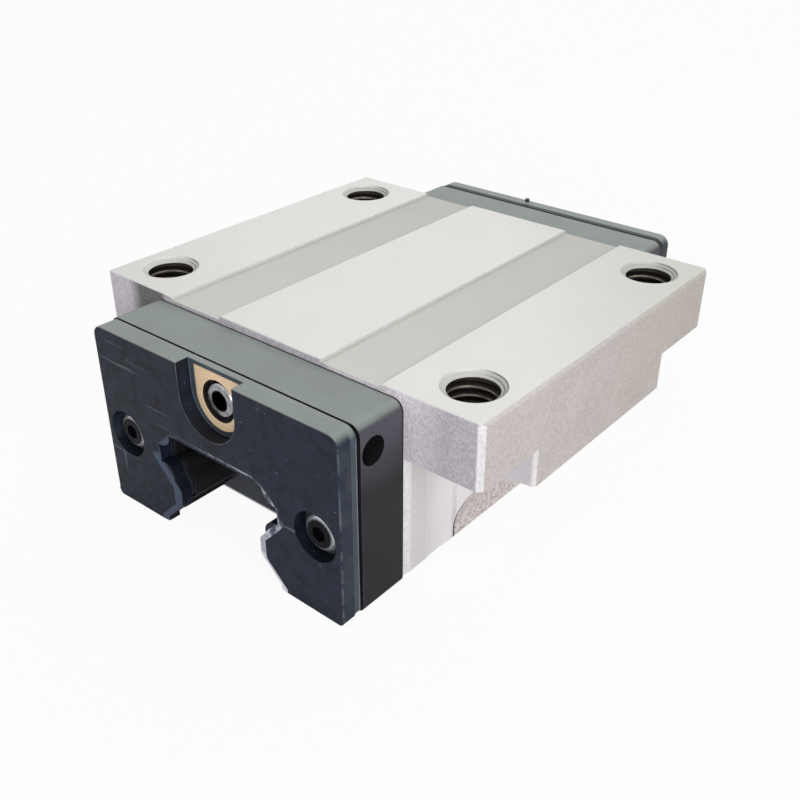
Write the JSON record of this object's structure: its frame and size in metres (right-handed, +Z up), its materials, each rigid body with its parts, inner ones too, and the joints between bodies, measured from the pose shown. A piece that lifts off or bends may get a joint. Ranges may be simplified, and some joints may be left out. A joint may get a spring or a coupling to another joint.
{
  "type": "linear guide carriage",
  "caption": "Flanged recirculating-ball carriage for a profile rail, with end caps, seals, a grease port and captive balls; bolts down through its flange.",
  "frame": {"origin": "bottom centre of the carriage, level with the lowest edge of the end seals", "axes": "+Y along the rail, +Z up from the rail to the mounting face, +X across; the front end faces -Y"},
  "size_m": [0.07, 0.0816, 0.0295],
  "materials": {
    "block_steel": "ground on top, rough forged scale elsewhere",
    "cap_plastic": "moulded, fine grain",
    "plate_steel": "stamped",
    "seal_rubber": "smooth moulded",
    "port_brass": "matt",
    "plug_steel": "polished",
    "black_screw": "black oxide",
    "guide_plastic": "moulded",
    "retainer_plastic": "moulded",
    "sleeve_plastic": "moulded",
    "ball_steel": "polished"
  },
  "bodies": {
    "carriage": {"block": "block_steel", "end_cap_front": "cap_plastic", "backing_plate_front": "plate_steel", "end_seal_front": "seal_rubber", "cap_screws_front": "black_screw", "return_guide_front_left": "guide_plastic", "return_guide_front_right": "guide_plastic", "end_cap_rear": "cap_plastic", "backing_plate_rear": "plate_steel", "end_seal_rear": "seal_rubber", "cap_screws_rear": "black_screw", "return_guide_rear_left": "guide_plastic", "return_guide_rear_right": "guide_plastic", "port_insert": "port_brass", "port_plug": "plug_steel", "side_retainer_left": "retainer_plastic", "upper_retainer_left": "retainer_plastic", "lower_retainer_left": "retainer_plastic", "bottom_seal_left": "seal_rubber", "return_sleeve_left_upper": "sleeve_plastic", "return_sleeve_left_lower": "sleeve_plastic", "side_retainer_right": "retainer_plastic", "upper_retainer_right": "retainer_plastic", "lower_retainer_right": "retainer_plastic", "bottom_seal_right": "seal_rubber", "return_sleeve_right_upper": "sleeve_plastic", "return_sleeve_right_lower": "sleeve_plastic"},
    "left_upper_loaded": {"left_upper_loaded_balls": "ball_steel"},
    "left_upper_return": {"left_upper_return_balls": "ball_steel"},
    "left_upper_front_turn": {"left_upper_front_turn_balls": "ball_steel"},
    "left_upper_rear_turn": {"left_upper_rear_turn_balls": "ball_steel"},
    "left_lower_loaded": {"left_lower_loaded_balls": "ball_steel"},
    "left_lower_return": {"left_lower_return_balls": "ball_steel"},
    "left_lower_front_turn": {"left_lower_front_turn_balls": "ball_steel"},
    "left_lower_rear_turn": {"left_lower_rear_turn_balls": "ball_steel"},
    "right_upper_loaded": {"right_upper_loaded_balls": "ball_steel"},
    "right_upper_return": {"right_upper_return_balls": "ball_steel"},
    "right_upper_front_turn": {"right_upper_front_turn_balls": "ball_steel"},
    "right_upper_rear_turn": {"right_upper_rear_turn_balls": "ball_steel"},
    "right_lower_loaded": {"right_lower_loaded_balls": "ball_steel"},
    "right_lower_return": {"right_lower_return_balls": "ball_steel"},
    "right_lower_front_turn": {"right_lower_front_turn_balls": "ball_steel"},
    "right_lower_rear_turn": {"right_lower_rear_turn_balls": "ball_steel"}
  },
  "joints": [
    {"name": "left_upper_circulation", "type": "slide", "parent": "carriage", "child": "left_upper_loaded", "axis": [0, 1, 0], "range_m": [-0.0021, 0.0021]},
    {"name": "left_upper_return_run", "type": "slide", "parent": "carriage", "child": "left_upper_return", "axis": [0, 1, 0], "range_m": [-0.0021, 0.0021]},
    {"name": "left_upper_front_turn_run", "type": "hinge", "parent": "carriage", "child": "left_upper_front_turn", "pos_m": [-0.01502, -0.02969, 0.0164], "axis": [0.2469, 0, 0.969], "range_deg": [-29.9, 29.9]},
    {"name": "left_upper_rear_turn_run", "type": "hinge", "parent": "carriage", "child": "left_upper_rear_turn", "pos_m": [-0.01502, 0.02969, 0.0164], "axis": [0.2469, 0, 0.969], "range_deg": [-29.9, 29.9]},
    {"name": "left_lower_circulation", "type": "slide", "parent": "carriage", "child": "left_lower_loaded", "axis": [0, 1, 0], "range_m": [-0.0021, 0.0021]},
    {"name": "left_lower_return_run", "type": "slide", "parent": "carriage", "child": "left_lower_return", "axis": [0, 1, 0], "range_m": [-0.0021, 0.0021]},
    {"name": "left_lower_front_turn_run", "type": "hinge", "parent": "carriage", "child": "left_lower_front_turn", "pos_m": [-0.01502, -0.02969, 0.0076], "axis": [-0.2469, 0, 0.969], "range_deg": [-29.9, 29.9]},
    {"name": "left_lower_rear_turn_run", "type": "hinge", "parent": "carriage", "child": "left_lower_rear_turn", "pos_m": [-0.01502, 0.02969, 0.0076], "axis": [-0.2469, 0, 0.969], "range_deg": [-29.9, 29.9]},
    {"name": "right_upper_circulation", "type": "slide", "parent": "carriage", "child": "right_upper_loaded", "axis": [0, 1, 0], "range_m": [-0.0021, 0.0021]},
    {"name": "right_upper_return_run", "type": "slide", "parent": "carriage", "child": "right_upper_return", "axis": [0, 1, 0], "range_m": [-0.0021, 0.0021]},
    {"name": "right_upper_front_turn_run", "type": "hinge", "parent": "carriage", "child": "right_upper_front_turn", "pos_m": [0.01502, -0.02969, 0.0164], "axis": [0.2469, 0, -0.969], "range_deg": [-29.9, 29.9]},
    {"name": "right_upper_rear_turn_run", "type": "hinge", "parent": "carriage", "child": "right_upper_rear_turn", "pos_m": [0.01502, 0.02969, 0.0164], "axis": [0.2469, 0, -0.969], "range_deg": [-29.9, 29.9]},
    {"name": "right_lower_circulation", "type": "slide", "parent": "carriage", "child": "right_lower_loaded", "axis": [0, 1, 0], "range_m": [-0.0021, 0.0021]},
    {"name": "right_lower_return_run", "type": "slide", "parent": "carriage", "child": "right_lower_return", "axis": [0, 1, 0], "range_m": [-0.0021, 0.0021]},
    {"name": "right_lower_front_turn_run", "type": "hinge", "parent": "carriage", "child": "right_lower_front_turn", "pos_m": [0.01502, -0.02969, 0.0076], "axis": [-0.2469, 0, -0.969], "range_deg": [-29.9, 29.9]},
    {"name": "right_lower_rear_turn_run", "type": "hinge", "parent": "carriage", "child": "right_lower_rear_turn", "pos_m": [0.01502, 0.02969, 0.0076], "axis": [-0.2469, 0, -0.969], "range_deg": [-29.9, 29.9]}
  ],
  "couplings": [
    {"joint": "left_upper_return_run", "follows": "left_upper_circulation", "ratio": -1},
    {"joint": "left_upper_front_turn_run", "follows": "left_upper_circulation", "rad_per_m": 246.91},
    {"joint": "left_upper_rear_turn_run", "follows": "left_upper_circulation", "rad_per_m": 246.91},
    {"joint": "left_lower_return_run", "follows": "left_lower_circulation", "ratio": -1},
    {"joint": "left_lower_front_turn_run", "follows": "left_lower_circulation", "rad_per_m": 246.91},
    {"joint": "left_lower_rear_turn_run", "follows": "left_lower_circulation", "rad_per_m": 246.91},
    {"joint": "right_upper_return_run", "follows": "right_upper_circulation", "ratio": -1},
    {"joint": "right_upper_front_turn_run", "follows": "right_upper_circulation", "rad_per_m": 246.91},
    {"joint": "right_upper_rear_turn_run", "follows": "right_upper_circulation", "rad_per_m": 246.91},
    {"joint": "right_lower_return_run", "follows": "right_lower_circulation", "ratio": -1},
    {"joint": "right_lower_front_turn_run", "follows": "right_lower_circulation", "rad_per_m": 246.91},
    {"joint": "right_lower_rear_turn_run", "follows": "right_lower_circulation", "rad_per_m": 246.91}
  ]
}
